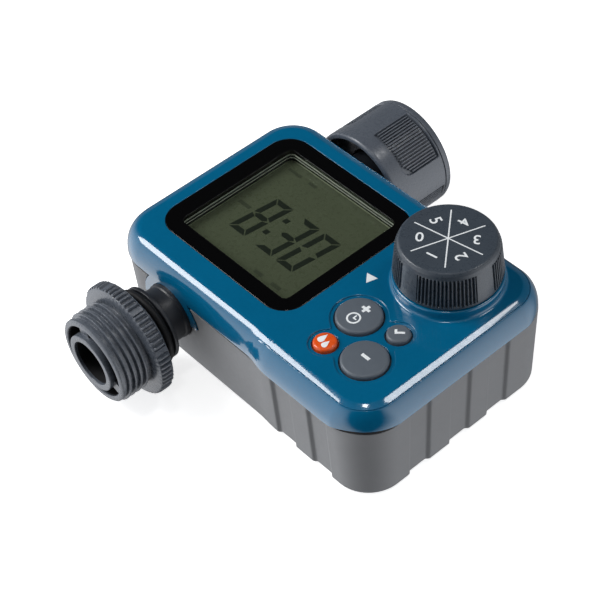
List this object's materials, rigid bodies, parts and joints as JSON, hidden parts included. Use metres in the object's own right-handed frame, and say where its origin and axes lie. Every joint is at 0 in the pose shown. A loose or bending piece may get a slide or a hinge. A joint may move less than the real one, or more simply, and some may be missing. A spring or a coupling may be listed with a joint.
{
  "type": "drip irrigation timer",
  "caption": "Battery water timer: display, dial and four buttons on a rounded case, with a swivel inlet nut and a threaded outlet on a motor-driven ball valve.",
  "frame": {"origin": "middle of the case's flat back face", "axes": "+Z out of the face with the display, dial and buttons; +X along the display from left to right; +Y towards the water inlet, so the outlet points along -Y"},
  "size_m": [0.1039, 0.1188, 0.0473],
  "materials": {
    "blue_cover": "glossy moulded plastic, teal blue",
    "grey_case": "fine-textured moulded plastic, mid grey",
    "grey_fitting": "moulded plastic, mid grey, satin",
    "black_rubber": "soft rubber, black",
    "steel": "plated steel",
    "clear_lens": "clear acrylic window with a printed black border",
    "black_plastic": "moulded plastic, black",
    "lcd_glass": "reflective liquid crystal display, grey green",
    "circuit_board": "glass-fibre laminate with green solder mask",
    "slate_plastic": "moulded plastic, dark slate, satin",
    "natural_plastic": "unpigmented glass-filled plastic",
    "chromed_ball": "polished",
    "white_plastic": "low-friction moulded plastic, white",
    "brass_gear": "turned brass",
    "steel_can": "drawn and plated can",
    "cell_jacket": "plain printed jacket with a bare tip",
    "nickel": "nickel-plated spring steel",
    "grey_button": "moulded plastic, light grey, satin",
    "orange_button": "moulded plastic, orange, satin"
  },
  "bodies": {
    "case": {"top_cover": "blue_cover", "base_shell": "grey_case", "case_gasket": "black_rubber", "case_screws": "steel", "display_lens": "clear_lens", "display_frame": "black_plastic", "lcd_panel": "lcd_glass", "lcd_connector": "black_rubber", "main_pcb": "circuit_board", "pcb_screws": "steel", "tact_switches": "black_plastic", "rotary_switch": "black_plastic", "keypad_seal": "black_rubber", "shaft_seal": "black_rubber", "valve_body": "natural_plastic", "valve_seats": "white_plastic", "stem_seal": "black_rubber", "outlet_spigot": "grey_fitting", "outlet_seal": "black_rubber", "outlet_adaptor": "grey_fitting", "inlet_spigot": "grey_fitting", "inlet_washer": "black_rubber", "filter_screen": "white_plastic", "neck_seals": "black_rubber", "gear_axles": "steel", "gearbox_plate": "natural_plastic", "gear_cover": "natural_plastic", "drive_motor": "steel_can", "gearbox_screws": "steel", "batteries": "cell_jacket", "battery_springs": "nickel", "battery_plates": "nickel"},
    "dial": {"dial_knob": "slate_plastic", "dial_shaft": "steel"},
    "plus": {"plus_button": "grey_button"},
    "minus": {"minus_button": "grey_button"},
    "ok": {"ok_button": "grey_button"},
    "manual": {"manual_button": "orange_button"},
    "nut": {"inlet_nut": "grey_fitting"},
    "door": {"battery_door": "grey_case", "door_seal": "black_rubber"},
    "ball": {"valve_ball": "chromed_ball", "valve_stem": "steel", "valve_gear": "white_plastic"},
    "second": {"second_gear": "white_plastic"},
    "first": {"first_gear": "white_plastic"},
    "motor": {"motor_pinion": "brass_gear", "motor_shaft": "steel"}
  },
  "joints": [
    {"name": "dial_turn", "type": "hinge", "parent": "case", "child": "dial", "pos_m": [0.0294, 0.0163, 0.036], "axis": [0, 0, 1], "continuous": true},
    {"name": "plus_press", "type": "slide", "parent": "case", "child": "plus", "axis": [0, 0, -1], "range_m": [0, 0.0008], "stiffness_N_per_m": 1500},
    {"name": "minus_press", "type": "slide", "parent": "case", "child": "minus", "axis": [0, 0, -1], "range_m": [0, 0.0008], "stiffness_N_per_m": 1500},
    {"name": "ok_press", "type": "slide", "parent": "case", "child": "ok", "axis": [0, 0, -1], "range_m": [0, 0.0008], "stiffness_N_per_m": 1500},
    {"name": "manual_press", "type": "slide", "parent": "case", "child": "manual", "axis": [0, 0, -1], "range_m": [0, 0.0008], "stiffness_N_per_m": 1500},
    {"name": "nut_turn", "type": "hinge", "parent": "case", "child": "nut", "pos_m": [-0.0263, 0.046, 0.017], "axis": [0, 1, 0], "continuous": true},
    {"name": "door_open", "type": "hinge", "parent": "case", "child": "door", "pos_m": [0.0167, 0, 0], "axis": [0, 1, 0], "range_deg": [0, 75]},
    {"name": "valve_turn", "type": "hinge", "parent": "case", "child": "ball", "pos_m": [-0.0263, 0, 0.01], "axis": [0, 0, 1], "range_deg": [0, 90]},
    {"name": "second_turn", "type": "hinge", "parent": "case", "child": "second", "pos_m": [-0.01164, 0.00534, 0.007], "axis": [0, 0, 1], "range_deg": [-305, 5]},
    {"name": "first_turn", "type": "hinge", "parent": "case", "child": "first", "pos_m": [-0.00398, 0.01176, 0.009], "axis": [0, 0, 1], "range_deg": [-15, 915]},
    {"name": "motor_turn", "type": "hinge", "parent": "case", "child": "motor", "pos_m": [0.00245, 0.0041, 0.01], "axis": [0, 0, 1], "range_deg": [-2745, 45]}
  ],
  "couplings": [
    {"joint": "second_turn", "follows": "valve_turn", "ratio": -3.3333},
    {"joint": "first_turn", "follows": "valve_turn", "ratio": 10},
    {"joint": "motor_turn", "follows": "valve_turn", "ratio": -30}
  ]
}
